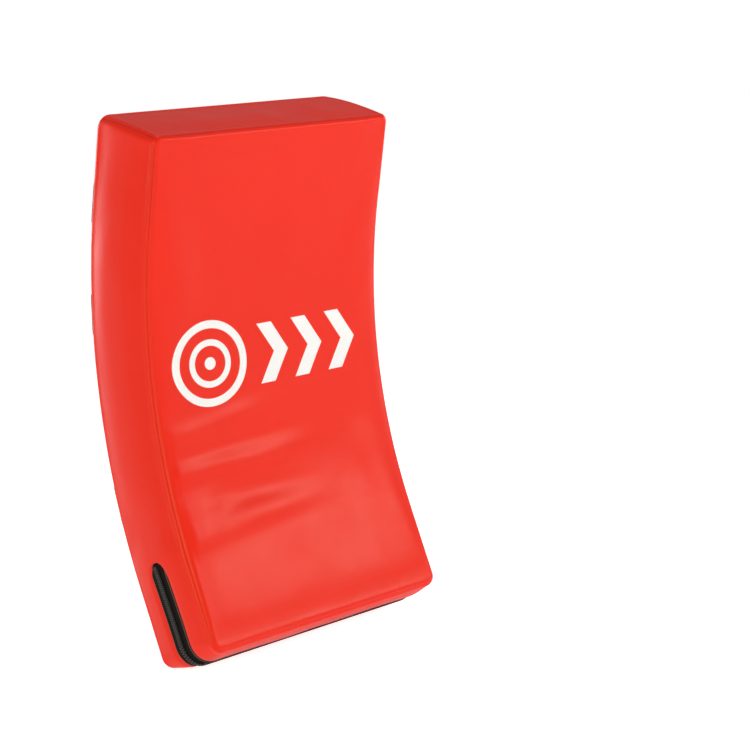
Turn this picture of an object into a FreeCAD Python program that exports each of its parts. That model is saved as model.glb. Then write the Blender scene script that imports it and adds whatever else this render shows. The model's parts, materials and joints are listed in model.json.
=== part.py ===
import FreeCAD, Part
import math
import os
import re

import Sketcher
from FreeCAD import Placement, Rotation, Vector

# Curved kick shield. X is its width, -Y the concave striking face, +Y the strapped back, +Z up.
# The body is a padded slab bent about an axis along X: an arc with a straight stretch at each end.
# "Off" is the distance behind the slab's middle surface, "along" the distance up that surface from
# the middle, and "height" the distance out from the top of the back panel's crown. Millimetres.

SIZES = {
    "pad_width": 356.0,            # side seam to side seam
    "pad_thickness": 107.0,        # front seam to back seam
    "bend_radius": 696.0,          # of the middle surface
    "bend_half_angle": 17.7,       # degrees, middle of the pad to the end of the arc
    "straight_length": 102.0,      # each end, past the arc
    "back_crown": 20.0,            # how far the back panel puffs past its seams
    "front_crown": 12.0,           # the same for the striking face
    "shoulder_radius": 30.0,       # roll of both panels into their seams
    "gusset_bulge": 10.0,          # puff of the side and bottom strips
    "bottom_corner_radius": 28.0,
    "top_corner_radius": 16.0,
    "corner_ease": 0.3,            # how far a corner's arc starts outside the strips
    "cover_thickness": 1.2,        # artificial leather
    "foam_clearance": 1.4,         # seam plane to foam
    "foam_split": 20.0,            # off of the two glue lines between the foam layers
    "mitre_depth": 4.0,            # reach of the panels' mitre planes, inwards
    "mitre_reach": 36.0,           # and outwards
    "zip_width": 30.0,             # opening in the strips
    "zip_leg": 102.0,              # straight part of the opening up each side
    "zip_setback": 0.9,            # tape below the crest of the strips
    "window_proud": 8.0,           # the opening's cutter, out past the strips
    "window_depth": 14.0,          # and its depth from there
    "tape_thickness": 1.0,
    "tape_inner": 4.4,             # tape's edge beside the teeth, from the middle
    "tape_outer": 14.8,
    "tape_leg": 103.0,
    "coil_inner": 0.7,             # the row of teeth, from the middle
    "coil_outer": 4.2,
    "coil_thickness": 2.4,
    "coil_proud": 1.0,             # teeth above the tape
    "coil_leg": 112.0,
    "stop_length": 2.8,
    "stop_gap": 0.2,
    "slider_half": 5.5,            # half length
    "slider_rest": 102.0,          # middle of the parked slider, from the end of the pad
    "slider_wall": 1.2,
    "slider_gap": 0.3,
    "slider_lip": 0.6,             # flanges, down from the top plate
    "divider_length": 4.0,
    "bridge_half": 1.0,            # half width
    "bridge_reach": 4.0,           # half length
    "bridge_inner": 2.6,           # half length between its feet
    "bridge_rise": 3.0,
    "pull_pin_radius": 0.7,
    "pull_pin_rise": 1.5,          # pin's centre above the slider's top plate
    "pull_length": 24.0,
    "pull_half_width": 3.0,
    "pull_slot": 8.0,              # slot between the pull's arms, from the pin's middle
    "pull_arm_gap": 0.5,           # arms clear of the bridge
    "webbing_width": 48.0,
    "webbing_thickness": 2.0,
    "webbing_gap": 0.1,            # webbing above the leather
    "webbing_trim": 1.0,           # webbing stops this far behind the seams
    "handle_along": 214.0,
    "mid_band_along": 90.0,
    "lower_band_along": -124.0,
    "tab_inner": 80.0,             # inner ends of the handle's sewn tabs, from the middle
    "grip_half_length": 66.0,
    "grip_width": 35.0,            # padding inside the leather wrap
    "grip_thickness": 16.0,
    "grip_wrap": 1.9,
    "grip_gap": 8.0,               # finger gap behind the grip
    "grip_slack": 0.1,             # between the wrap, the padding and the strap
    "grip_core_inset": 8.0,        # padding ends this far inside the wrap
    "handle_strap_width": 32.0,
    "handle_strap_foot": 0.6,      # strap's ends above the leather
    "handle_strap_gap": 0.5,       # strap's ends to the tabs
    "handle_flare": 62.0,          # where the strap leaves the grip's middle line
    "strap_middle": 108.0,         # middle of each arm strap, from the middle of the pad
    "strap_top_rise": 2.4,         # height of the strap's middle line at its top edge
    "strap_top_gap": 0.8,          # top edge below the middle band
    "strap_tilt": 2.7,             # degrees out from the vertical
    "strap_run": 196.0,
    "strap_fold_radius": 5.0,
    "strap_lip": 5.0,              # strap past its bottom fold
    "tail_start": -103.5,          # along, where the tail takes over from the strap
    "tail_top": -83.0,             # along, top fold
    "tail_end": -99.5,             # along, just above the lower band
    "tail_height": 1.3,            # height of the tail's under layer
    "tail_fold_radius": 2.2,
    "thread_width": 0.9,
    "thread_thickness": 0.5,
    "thread_gap": 0.05,
    "tab_box_middle": 115.0,       # boxed cross stitch on the handle's tabs
    "tab_box_half": 30.0,
    "strap_box_half": 22.0,        # boxed cross stitch above each arm strap
    "box_half_height": 19.0,
    "cutter_margin": 20.0,         # cutting shapes run this far past what they cut
    "sweep_spare": 5.0,            # sweeps run this far past the ends
    "centre_y": 0.0,               # both set below, from the finished model's box
    "base_z": 0.0,
}

COS = "cos(bend_half_angle * 1 deg)"
SIN = "sin(bend_half_angle * 1 deg)"
BACK_TOP = "(pad_thickness / 2 + back_crown)"
NAMES = re.compile(r"\b(" + "|".join(sorted(SIZES, key=len, reverse=True)) + r")\b")

doc = FreeCAD.newDocument("kick_shield")
sheet = doc.addObject("Spreadsheet::Sheet", "Sizes")
for row, (alias, size) in enumerate(SIZES.items(), start=1):
    sheet.set(f"A{row}", alias)
    sheet.set(f"B{row}", str(size))
    sheet.setAlias(f"B{row}", alias)
doc.recompute()

NODES = {}


def bound(text):
    """The expression with each size written as a cell of the sheet."""
    return NAMES.sub(lambda name: "Sizes." + name.group(0), text)


def number(text):
    """What the expression comes to."""
    result = sheet.evalExpression(bound(text))
    return float(getattr(result, "Value", result))


def bind(item, prop, text):
    item.setExpression(prop, bound(text))


# ---------------------------------------------------------------- frames and sketches

def off_middle(end, off, run="0"):
    """(y, z) of a point `off` the middle surface and `run` past the arc, at the top or bottom end."""
    across = f"((bend_radius + {off}) * {COS} - bend_radius - ({run}) * {SIN})"
    up = f"({end} * ((bend_radius + {off}) * {SIN} + ({run}) * {COS}))"
    return across, up


def on_arc(along, off):
    """(y, z) of a point `off` the middle surface at a place along the arc."""
    turn = f"(({along}) / bend_radius * 1 rad)"
    return (f"((bend_radius + {off}) * cos{turn} - bend_radius)",
            f"((bend_radius + {off}) * sin{turn})")


def end_frame(end, run="straight_length"):
    """Frame at an end: Z out along the pad. Y points back at the top end, to the front at the bottom."""
    angle = "bend_half_angle" if end > 0 else "(180 - bend_half_angle)"
    return (*off_middle(end, "0", run), angle)


def arc_frame(along):
    """Frame on the arc: Y straight out of the back, Z up along the pad."""
    return (*on_arc(along, "0"), f"(({along}) / bend_radius * 180 / pi)")


MIDDLE = ("0", "0", "0")


def place(item, frame, across="0", local=("0", "0")):
    """Place an item in a frame, shifted to the pad's own origin. `local` is its (y, z) in the frame."""
    frame_y, frame_z, angle = frame
    turn = number(angle)
    item.Placement = Placement(Vector(0, 0, 0), Rotation(Vector(1, 0, 0), turn))
    cos, sin = f"cos({angle} * 1 deg)", f"sin({angle} * 1 deg)"
    out, up = local
    bind(item, "Placement.Base.x", across)
    bind(item, "Placement.Base.y", f"{frame_y} + ({out}) * {cos} - ({up}) * {sin} - centre_y")
    bind(item, "Placement.Base.z", f"{frame_z} + ({out}) * {sin} + ({up}) * {cos} - base_z")


def keep(name, item, frame=MIDDLE, across="0", local=("0", "0")):
    """Name a finished sub-part and put it in its place."""
    item.Label = name
    place(item, frame, across, local)
    NODES[name] = item
    return item


def new_body(name):
    return doc.addObject("PartDesign::Body", name)


def new_sketch(body, role):
    plane = [item for item in body.Origin.OriginFeatures if item.Role == role][0]
    sketch = body.newObject("Sketcher::SketchObject", f"{body.Name}_sketch")
    sketch.AttachmentSupport = [(plane, "")]
    sketch.MapMode = "FlatFace"
    return sketch


def draw(sketch, corners, arcs=None, closed=True):
    """Outline through corners, anticlockwise. `arcs` has the radius of each edge that is an arc: one
    with a minus sign bulges to the left of the way along. Corners and radii are all expressions."""
    arcs = arcs or {}
    points = [Vector(number(x), number(y), 0) for x, y in corners]
    edges = len(points) if closed else len(points) - 1
    starts, ends = [], []
    for edge in range(edges):
        first, last = points[edge], points[(edge + 1) % len(points)]
        if edge not in arcs:
            sketch.addGeometry(Part.LineSegment(first, last), False)
            starts.append((edge, 1))
            ends.append((edge, 2))
            continue
        radius = number(arcs[edge])
        outward = 1 if radius > 0 else -1
        radius = abs(radius)
        chord = last - first
        right = Vector(chord.y, -chord.x, 0).normalize() * outward
        depth = math.sqrt(max(radius ** 2 - chord.Length ** 2 / 4, 0))
        centre = (first + last) * 0.5 - right * depth
        begin, finish = (first, last) if outward > 0 else (last, first)
        angles = [math.atan2(point.y - centre.y, point.x - centre.x) for point in (begin, finish)]
        circle = Part.Circle(centre, Vector(0, 0, 1), radius)
        sketch.addGeometry(Part.ArcOfCircle(circle, *angles), False)
        starts.append((edge, 1 if outward > 0 else 2))
        ends.append((edge, 2 if outward > 0 else 1))
        if math.isclose(chord.Length, 2 * radius):
            # a half circle over a level chord is held by its centre's height
            index = sketch.addConstraint(Sketcher.Constraint("DistanceY", -1, 1, edge, 3, centre.y))
            bind(sketch, f"Constraints[{index}]", corners[edge][1])
            continue
        index = sketch.addConstraint(Sketcher.Constraint("Radius", edge, radius))
        sign = "" if outward > 0 else "-"
        bind(sketch, f"Constraints[{index}]", f"{sign}({arcs[edge]})")
    pins = starts if closed else starts + [ends[-1]]
    for (edge, vertex), corner, point in zip(pins, corners, points):
        for kind, text, value in (("DistanceX", corner[0], point.x), ("DistanceY", corner[1], point.y)):
            index = sketch.addConstraint(Sketcher.Constraint(kind, -1, 1, edge, vertex, value))
            bind(sketch, f"Constraints[{index}]", text)
    for edge in range(edges if closed else edges - 1):
        following = starts[(edge + 1) % edges]
        sketch.addConstraint(Sketcher.Constraint("Coincident", *ends[edge], *following))
    return sketch


def padded(name, role, corners, length, arcs=None):
    """Body: an outline padded equally both ways."""
    body = new_body(name)
    sketch = draw(new_sketch(body, role), corners, arcs)
    pad = body.newObject("PartDesign::Pad", f"{name}_pad")
    pad.Profile = sketch
    pad.Midplane = True
    bind(pad, "Length", length)
    return body


def swept(name, corners, arcs=None, extra="0"):
    """Body: a cross section carried along the pad's middle line, `extra` past each end."""
    body = new_body(name)
    run = f"(straight_length + {extra})"
    spine = draw(new_sketch(body, "YZ_Plane"),
                 [off_middle(-1, "0", run), off_middle(-1, "0"),
                  off_middle(1, "0"), off_middle(1, "0", run)],
                 {1: "bend_radius"}, closed=False)
    section = draw(new_sketch(body, "XY_Plane"), corners, arcs)
    section.AttachmentOffset = Placement(Vector(0, 0, 0), Rotation(Vector(-1, 0, 0), 1))
    start_y, start_z = off_middle(-1, "0", run)
    bind(section, "AttachmentOffset.Base.y", start_y)
    bind(section, "AttachmentOffset.Base.z", start_z)
    bind(section, "AttachmentOffset.Rotation.Angle", "bend_half_angle * 1 deg")
    pipe = body.newObject("PartDesign::AdditivePipe", f"{name}_pipe")
    pipe.Profile = section
    pipe.Spine = (spine, [])
    return body


def block(name, low, high):
    """Box between two corners given as expressions."""
    box = doc.addObject("Part::Box", name)
    for side, axis, least, most in zip(("Length", "Width", "Height"), "xyz", low, high):
        bind(box, side, f"({most}) - ({least})")
        bind(box, f"Placement.Base.{axis}", least)
    return box


def joined(kind, name, parts):
    """Part::MultiFuse or Part::Compound of several shapes."""
    whole = doc.addObject(kind, name)
    setattr(whole, "Links" if kind == "Part::Compound" else "Shapes", parts)
    return whole


def cut(name, base, tool):
    return boolean("Part::Cut", name, base, tool)


def common(name, base, tool):
    return boolean("Part::Common", name, base, tool)


def boolean(kind, name, base, tool):
    result = doc.addObject(kind, name)
    result.Base = base
    result.Tool = tool
    return result


def mirrored(corners):
    """The same outline the other side of X = 0."""
    return [(f"-({x})", y) for x, y in reversed(corners)]


# ---------------------------------------------------------------- the padded body's form

def roll(crown):
    """How far in from its seam a panel reaches its full height."""
    return f"sqrt(2 * shoulder_radius * {crown} - {crown} ^ 2)"


def bulge_radius(half):
    return f"(({half}) ^ 2 + gusset_bulge ^ 2) / (2 * gusset_bulge)"


def cross_section(inset, bulged):
    """Across the pad: crowned front and back, bulged or flat sides."""
    half, deep = f"(pad_width / 2 - {inset})", f"(pad_thickness / 2 - {inset})"
    back, front = f"({half} - {roll('back_crown')})", f"({half} - {roll('front_crown')})"
    corners = [(half, f"-{deep}"), (half, deep),
               (back, f"{deep} + back_crown"), (f"-{back}", f"{deep} + back_crown"),
               (f"-{half}", deep), (f"-{half}", f"-{deep}"),
               (f"-{front}", f"-{deep} - front_crown"), (front, f"-{deep} - front_crown")]
    arcs = {edge: "shoulder_radius" for edge in (1, 3, 5, 7)}
    if bulged:
        arcs.update({edge: bulge_radius(deep) for edge in (0, 4)})
    return corners, arcs


def side_outline(inset, bulged):
    """Seen from the side: bent front and back that roll in to the end seams."""
    deep, reach = f"(pad_thickness / 2 - {inset})", f"(straight_length - {inset})"
    back, front = f"({deep} + back_crown)", f"(-{deep} - front_crown)"
    back_run, front_run = f"{reach} - {roll('back_crown')}", f"{reach} - {roll('front_crown')}"
    corners = [off_middle(-1, f"(-{deep})", reach), off_middle(-1, deep, reach),
               off_middle(-1, back, back_run), off_middle(-1, back), off_middle(1, back),
               off_middle(1, back, back_run), off_middle(1, deep, reach),
               off_middle(1, f"(-{deep})", reach), off_middle(1, front, front_run),
               off_middle(1, front), off_middle(-1, front), off_middle(-1, front, front_run)]
    arcs = {edge: "shoulder_radius" for edge in (1, 5, 7, 11)}
    arcs[3] = f"bend_radius + {back}"
    arcs[9] = f"-(bend_radius + {front})"
    if bulged:
        arcs[0] = bulge_radius(deep)
    return corners, arcs


def corner_cut(name, end, side, inset):
    """Prism outside one rounded corner of the front outline."""
    radius = f"({'top' if end > 0 else 'bottom'}_corner_radius - {inset})"
    across = f"(pad_width / 2 + gusset_bulge + corner_ease - {inset})"
    out = f"({'0' if end > 0 else 'gusset_bulge'} + corner_ease - {inset})"
    far_across, far_out = f"{across} + cutter_margin", f"{out} + cutter_margin"
    corners = [(across, f"{out} - {radius}"), (far_across, f"{out} - {radius}"), (far_across, far_out),
               (f"{across} - {radius}", far_out), (f"{across} - {radius}", out)]
    if side < 0:
        corners = mirrored(corners)
    body = padded(name, "XZ_Plane", corners, "pad_thickness + 4 * cutter_margin", {4: f"-{radius}"})
    frame_y, frame_z, angle = end_frame(end)
    body.Placement = Placement(Vector(0, 0, 0), Rotation(Vector(1, 0, 0), number(angle)))
    bind(body, "Placement.Base.y", frame_y)
    bind(body, "Placement.Base.z", frame_z)
    return body


def pad_form(name, inset, bulged):
    """The whole padded body, or the space inside its cover."""
    across = swept(f"{name}_across", *cross_section(inset, bulged), extra="gusset_bulge + sweep_spare")
    outline, arcs = side_outline(inset, bulged)
    side = padded(f"{name}_side", "YZ_Plane", outline, "pad_width + 2 * cutter_margin", arcs)
    form = common(f"{name}_form", across, side)
    prisms = [corner_cut(f"{name}_corner_{end + 1}{side_sign + 1}", end, side_sign, inset)
              for end in (1, -1) for side_sign in (1, -1)]
    return cut(name, form, joined("Part::MultiFuse", f"{name}_corners", prisms))


# ---------------------------------------------------------------- cover and foam

def region(name, side):
    """Everything on one side of the pad, out from the mitre planes through its seams."""
    near, wide = "(pad_width / 2 - mitre_depth)", "(pad_width / 2 + mitre_reach)"
    low, high = "(pad_thickness / 2 - mitre_depth)", "(pad_thickness / 2 + mitre_reach)"
    outlines = {
        "front": [(f"-{near}", f"-{low}"), (f"-{wide}", f"-{high}"), (wide, f"-{high}"), (near, f"-{low}")],
        "back": [(near, low), (wide, high), (f"-{wide}", high), (f"-{near}", low)],
        "right": [(near, f"-{low}"), (wide, f"-{high}"), (wide, high), (near, low)],
    }
    outlines["left"] = mirrored(outlines["right"])
    return swept(name, outlines[side], extra="sweep_spare")


def end_region(name, end):
    """The same for an end of the pad: a wedge that widens outwards."""
    wedge = doc.addObject("Part::Wedge", name)
    for prop, half in (("X", "pad_width / 2"), ("Z", "pad_thickness / 2")):
        near, wide = f"({half} - mitre_depth)", f"({half} + mitre_reach)"
        bind(wedge, f"{prop}min", f"-{near}")
        bind(wedge, f"{prop}max", near)
        bind(wedge, f"{prop}2min", f"-{wide}")
        bind(wedge, f"{prop}2max", wide)
    bind(wedge, "Ymin", "-mitre_depth")
    bind(wedge, "Ymax", "mitre_reach")
    frame_y, frame_z, angle = end_frame(end)
    wedge.Placement = Placement(Vector(0, 0, 0), Rotation(Vector(1, 0, 0), number(angle) + 90))
    bind(wedge, "Placement.Base.y", frame_y)
    bind(wedge, "Placement.Base.z", frame_z)
    return wedge


def u_outline(outer_x, outer_z, radius, leg, thickness):
    """U in the end frame: a crossbar over the end and a leg down each side, with round corners."""
    inner_x, inner_z = f"({outer_x} - {thickness})", f"({outer_z} - {thickness})"
    inner_radius = f"({radius} - {thickness})"
    corners = [(inner_x, f"-{leg}"), (outer_x, f"-{leg}"), (outer_x, f"{outer_z} - {radius}"),
               (f"{outer_x} - {radius}", outer_z), (f"-({outer_x} - {radius})", outer_z),
               (f"-{outer_x}", f"{outer_z} - {radius}"), (f"-{outer_x}", f"-{leg}"),
               (f"-{inner_x}", f"-{leg}"), (f"-{inner_x}", f"{inner_z} - {inner_radius}"),
               (f"-({inner_x} - {inner_radius})", inner_z), (f"{inner_x} - {inner_radius}", inner_z),
               (inner_x, f"{inner_z} - {inner_radius}")]
    arcs = {2: radius, 4: radius, 8: f"-{inner_radius}", 10: f"-{inner_radius}"}
    return corners, arcs


def zip_window():
    """What the zip's opening takes out of the side and bottom strips."""
    edge = "(pad_width / 2 + gusset_bulge + window_proud)"
    corners, arcs = u_outline(edge, "(gusset_bulge + window_proud)",
                              "(bottom_corner_radius + window_proud)", "zip_leg", "window_depth")
    window = padded("zip_window", "XZ_Plane", corners, "zip_width", arcs)
    rounds = []
    for sign in (1, -1):
        tip = doc.addObject("Part::Cylinder", f"zip_window_tip_{sign + 1}")
        bind(tip, "Radius", "zip_width / 2")
        bind(tip, "Height", "window_depth")
        tip.Placement = Placement(Vector(0, 0, 0), Rotation(Vector(0, 1, 0), 90))
        bind(tip, "Placement.Base.x", f"{sign} * ({edge} - window_depth / 2) - window_depth / 2")
        bind(tip, "Placement.Base.z", "-zip_leg")
        rounds.append(tip)
    whole = joined("Part::MultiFuse", "zip_window_shape", [window, *rounds])
    frame_y, frame_z, angle = end_frame(-1)
    whole.Placement = Placement(Vector(0, 0, 0), Rotation(Vector(1, 0, 0), number(angle)))
    bind(whole, "Placement.Base.y", frame_y)
    bind(whole, "Placement.Base.z", frame_z)
    return whole


def make_cover():
    shell = cut("cover_shell", pad_form("outside", "0", True), pad_form("inside", "cover_thickness", True))
    ends = {end: end_region(f"end_region_{end + 1}", end) for end in (1, -1)}
    keep("top_gusset", common("top_strip", shell, ends[1]))
    rest = cut("cover_rest", shell, joined("Part::MultiFuse", "both_ends", list(ends.values())))
    for side in ("front", "back"):
        keep(f"{side}_panel", common(f"{side}_skin", rest, region(f"{side}_region", side)))
    window = zip_window()
    for side in ("left", "right"):
        strip = common(f"{side}_whole_strip", rest, region(f"{side}_region", side))
        keep(f"{side}_gusset", cut(f"{side}_strip", strip, window))
    bottom = cut("bottom_strips", common("bottom_whole_strip", shell, ends[-1]), window)
    for name, low, high in (("front", "0", "pad_thickness"), ("rear", "-pad_thickness", "0")):
        half = block(f"bottom_{name}_half", ("-pad_width", low, "-pad_thickness"),
                     ("pad_width", high, "pad_thickness"))
        frame_y, frame_z, angle = end_frame(-1)
        moved = joined("Part::Compound", f"bottom_{name}_side", [half])
        moved.Placement = Placement(Vector(0, 0, 0), Rotation(Vector(1, 0, 0), number(angle)))
        bind(moved, "Placement.Base.y", frame_y)
        bind(moved, "Placement.Base.z", frame_z)
        keep(f"bottom_{name}_gusset", common(f"bottom_{name}_strip", bottom, moved))


def make_foam():
    """Three glued layers, flat at the sides and ends, so the strips puff clear of them."""
    foam = pad_form("foam", "foam_clearance", False)
    wide = "(pad_width / 2 + cutter_margin)"
    layers = {"strike_foam": ("(-pad_thickness)", "(-foam_split)"),
              "core_foam": ("(-foam_split)", "foam_split"),
              "back_foam": ("foam_split", "pad_thickness")}
    for name, (low, high) in layers.items():
        corners = [(f"-{wide}", low), (wide, low), (wide, high), (f"-{wide}", high)]
        slab = swept(f"{name}_slab", corners, extra="sweep_spare")
        keep(name, common(f"{name}_layer", foam, slab))


# ---------------------------------------------------------------- zip

def zip_strip(name, depth, thickness, leg, inner, outer, side):
    """One tape or row of teeth: a U `depth` below the strips' crest, from `inner` to `outer`."""
    edge = f"(pad_width / 2 + gusset_bulge - ({depth}))"
    out, radius = f"(gusset_bulge - ({depth}))", f"(bottom_corner_radius - corner_ease - ({depth}))"
    corners, arcs = u_outline(edge, out, radius, leg, thickness)
    body = padded(f"{name}_body", "XZ_Plane", corners, f"{outer} - {inner}", arcs)
    keep(name, body, end_frame(-1), local=(f"{side} * ({outer} + {inner}) / 2", "0"))


def make_zip():
    coil_depth = "zip_setback - coil_proud"
    for name, side in (("front", 1), ("rear", -1)):
        zip_strip(f"zip_tape_{name}", "zip_setback", "tape_thickness", "tape_leg",
                  "tape_inner", "tape_outer", side)
        zip_strip(f"zip_coil_{name}", coil_depth, "coil_thickness", "coil_leg",
                  "coil_inner", "coil_outer", side)
    crest = "(pad_width / 2 + gusset_bulge)"
    teeth_out, teeth_in = f"({crest} - ({coil_depth}))", f"({crest} - ({coil_depth}) - coil_thickness)"
    stops = []
    for sign in (1, -1):
        ends = sorted((f"{sign} * {teeth_out}", f"{sign} * {teeth_in}"), key=number)
        stops.append(block(f"zip_stop_{sign + 1}", (ends[0], "-coil_outer", "-coil_leg - stop_length"),
                           (ends[1], "coil_outer", "-coil_leg - stop_gap")))
    keep("zip_stops", joined("Part::Compound", "zip_stop_pair", stops), end_frame(-1))
    make_slider(teeth_out, teeth_in)


def make_slider(teeth_out, teeth_in):
    """Slider parked at the top of the right leg: plates over and under the teeth, a divider between
    them, and a bridge that holds the pull's pin. Its frame is the bottom end's."""
    middle = "(-slider_rest)"
    plate, under = f"({teeth_out} + slider_gap)", f"({teeth_in} - slider_gap)"
    edge = "(coil_outer + slider_gap)"
    top = f"({plate} + slider_wall)"
    low, high = f"{middle} - slider_half", f"{middle} + slider_half"
    wide = f"({edge} + slider_wall)"
    divider = "(coil_inner - slider_gap)"
    lip = f"{plate} - slider_lip"
    roof = f"({top} + bridge_rise)"
    pieces = [
        block("slider_top", (plate, f"-{wide}", low), (top, wide, high)),
        block("slider_front_flange", (lip, edge, low), (plate, wide, high)),
        block("slider_rear_flange", (lip, f"-{wide}", low), (plate, f"-{edge}", high)),
        block("slider_under", (f"{under} - slider_wall", f"-{edge}", low), (under, edge, high)),
        block("slider_divider", (under, f"-{divider}", low), (plate, divider, f"{low} + divider_length")),
        block("slider_bridge_roof", (roof, "-bridge_half", f"{middle} - bridge_reach"),
              (f"{roof} + slider_wall", "bridge_half", f"{middle} + bridge_reach")),
    ]
    for sign in (1, -1):
        ends = sorted((f"{middle} + {sign} * bridge_inner", f"{middle} + {sign} * bridge_reach"), key=number)
        pieces.append(block(f"slider_bridge_foot_{sign + 1}", (top, "-bridge_half", ends[0]),
                            (roof, "bridge_half", ends[1])))
    keep("zip_slider", joined("Part::MultiFuse", "slider_shape", pieces), end_frame(-1))

    pin_x = f"({top} + pull_pin_rise)"
    pin = doc.addObject("Part::Cylinder", "pull_pin")
    bind(pin, "Radius", "pull_pin_radius")
    bind(pin, "Height", "2 * pull_half_width")
    pin.Placement = Placement(Vector(0, 0, 0), Rotation(Vector(-1, 0, 0), 90))
    bind(pin, "Placement.Base.x", pin_x)
    bind(pin, "Placement.Base.y", "-pull_half_width")
    bind(pin, "Placement.Base.z", middle)
    under_x, over_x = f"{pin_x} - pull_pin_radius", f"{pin_x} + pull_pin_radius"
    tab_start = f"{middle} + pull_slot"
    parts = [pin, block("pull_tab", (under_x, "-pull_half_width", tab_start),
                        (over_x, "pull_half_width", f"{middle} + pull_length"))]
    for name, near, far in (("front", "bridge_half + pull_arm_gap", "pull_half_width"),
                            ("rear", "-pull_half_width", "-bridge_half - pull_arm_gap")):
        parts.append(block(f"pull_{name}_arm", (under_x, near, middle), (over_x, far, tab_start)))
    keep("zip_pull", joined("Part::MultiFuse", "pull_shape", parts), end_frame(-1))


# ---------------------------------------------------------------- webbing

def webbing_layer():
    """Webbing all over the back panel, seam to seam."""
    half = f"(pad_width / 2 - {roll('back_crown')})"
    centre_height = f"({BACK_TOP} - shoulder_radius)"
    inner, outer = "(shoulder_radius + webbing_gap)", "(shoulder_radius + webbing_gap + webbing_thickness)"
    edge = "(pad_thickness / 2 + webbing_trim)"
    inner_x, outer_x = [f"({half} + sqrt({radius} ^ 2 - ({edge} - {centre_height}) ^ 2))"
                        for radius in (inner, outer)]
    inner_y, outer_y = f"{centre_height} + {inner}", f"{centre_height} + {outer}"
    corners = [(outer_x, edge), (half, outer_y), (f"-{half}", outer_y), (f"-{outer_x}", edge),
               (f"-{inner_x}", edge), (f"-{half}", inner_y), (half, inner_y), (inner_x, edge)]
    return swept("webbing_layer", corners, {0: outer, 2: outer, 4: f"-{inner}", 6: f"-{inner}"})


def band(name, layer, along, low_x, high_x):
    """The part of the layer one webbing's width high, centred at a place along the pad."""
    edges = [f"({along} - webbing_width / 2)", f"({along} + webbing_width / 2)"]
    near, far = "pad_thickness / 2 - cutter_margin", f"{BACK_TOP} + cutter_margin"
    corners = [on_arc(edges[0], near), on_arc(edges[0], far), on_arc(edges[1], far), on_arc(edges[1], near)]
    slab = padded(f"{name}_slab", "YZ_Plane", corners, f"{high_x} - ({low_x})")
    bind(slab, "Placement.Base.x", f"({high_x} + {low_x}) / 2")
    keep(name, common(f"{name}_piece", layer, slab))


def make_bands():
    layer = webbing_layer()
    wide = "(pad_width / 2 + cutter_margin)"
    band("mid_band", layer, "mid_band_along", f"(-{wide})", wide)
    band("lower_band", layer, "lower_band_along", f"(-{wide})", wide)
    band("handle_left_tab", layer, "handle_along", f"(-{wide})", "(-tab_inner)")
    band("handle_right_tab", layer, "handle_along", "tab_inner", wide)


def stadium(name, grow, length):
    """Grip-shaped bar along X: flat with round edges."""
    deep, wide = f"(grip_thickness / 2 + {grow})", f"(grip_width / 2 + {grow})"
    corners = [(deep, f"-({wide} - {deep})"), (deep, f"{wide} - {deep}"),
               (f"-{deep}", f"{wide} - {deep}"), (f"-{deep}", f"-({wide} - {deep})")]
    return padded(name, "YZ_Plane", corners, length, {1: deep, 3: deep})


def make_handle():
    """Carry handle across the top of the back: webbing through a padded, leather-wrapped grip."""
    frame = arc_frame("handle_along")
    grip_middle = f"({BACK_TOP} + grip_gap + grip_wrap + grip_thickness / 2)"
    half_strap = "webbing_thickness / 2"
    foot = f"({BACK_TOP} + handle_strap_foot - {grip_middle})"
    ends = "(tab_inner - handle_strap_gap)"
    lower_flare = "(handle_flare - webbing_thickness)"
    corners = [(ends, foot), (ends, f"{foot} + webbing_thickness"), ("handle_flare", half_strap),
               ("-handle_flare", half_strap), (f"-{ends}", f"{foot} + webbing_thickness"),
               (f"-{ends}", foot), (f"-{lower_flare}", f"-{half_strap}"), (lower_flare, f"-{half_strap}")]
    strap = padded("handle_strap_body", "XY_Plane", corners, "handle_strap_width")
    keep("handle_strap", strap, frame, local=(grip_middle, "0"))

    slot_deep, slot_high = f"{half_strap} + grip_slack", "handle_strap_width / 2 + grip_slack"
    slot = block("grip_slot", ("-grip_half_length", f"-({slot_deep})", f"-({slot_high})"),
                 ("grip_half_length", slot_deep, slot_high))
    core = cut("grip_core_shape", stadium("grip_bar", "0", "2 * (grip_half_length - grip_core_inset)"), slot)
    keep("grip_core", core, frame, local=(grip_middle, "0"))
    sleeve = cut("grip_sleeve_shape", stadium("grip_outside", "grip_wrap", "2 * grip_half_length"),
                 stadium("grip_inside", "grip_slack", "2 * grip_half_length + cutter_margin"))
    keep("grip_sleeve", sleeve, frame, local=(grip_middle, "0"))


# ---------------------------------------------------------------- arm loops

def ribbon(name, route, arcs):
    """Body: webbing carried along an open route in the YZ plane from its first point."""
    body = new_body(name)
    spine = draw(new_sketch(body, "YZ_Plane"), route, arcs, closed=False)
    half_width, half_thick = "(webbing_width / 2)", "(webbing_thickness / 2)"
    section = draw(new_sketch(body, "XY_Plane"),
                   [(f"-{half_width}", f"-{half_thick}"), (half_width, f"-{half_thick}"),
                    (half_width, half_thick), (f"-{half_width}", half_thick)])
    bind(section, "AttachmentOffset.Base.y", route[0][0])
    bind(section, "AttachmentOffset.Base.z", route[0][1])
    pipe = body.newObject("PartDesign::AdditivePipe", f"{name}_pipe")
    pipe.Profile = section
    pipe.Spine = (spine, [])
    return body


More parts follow.
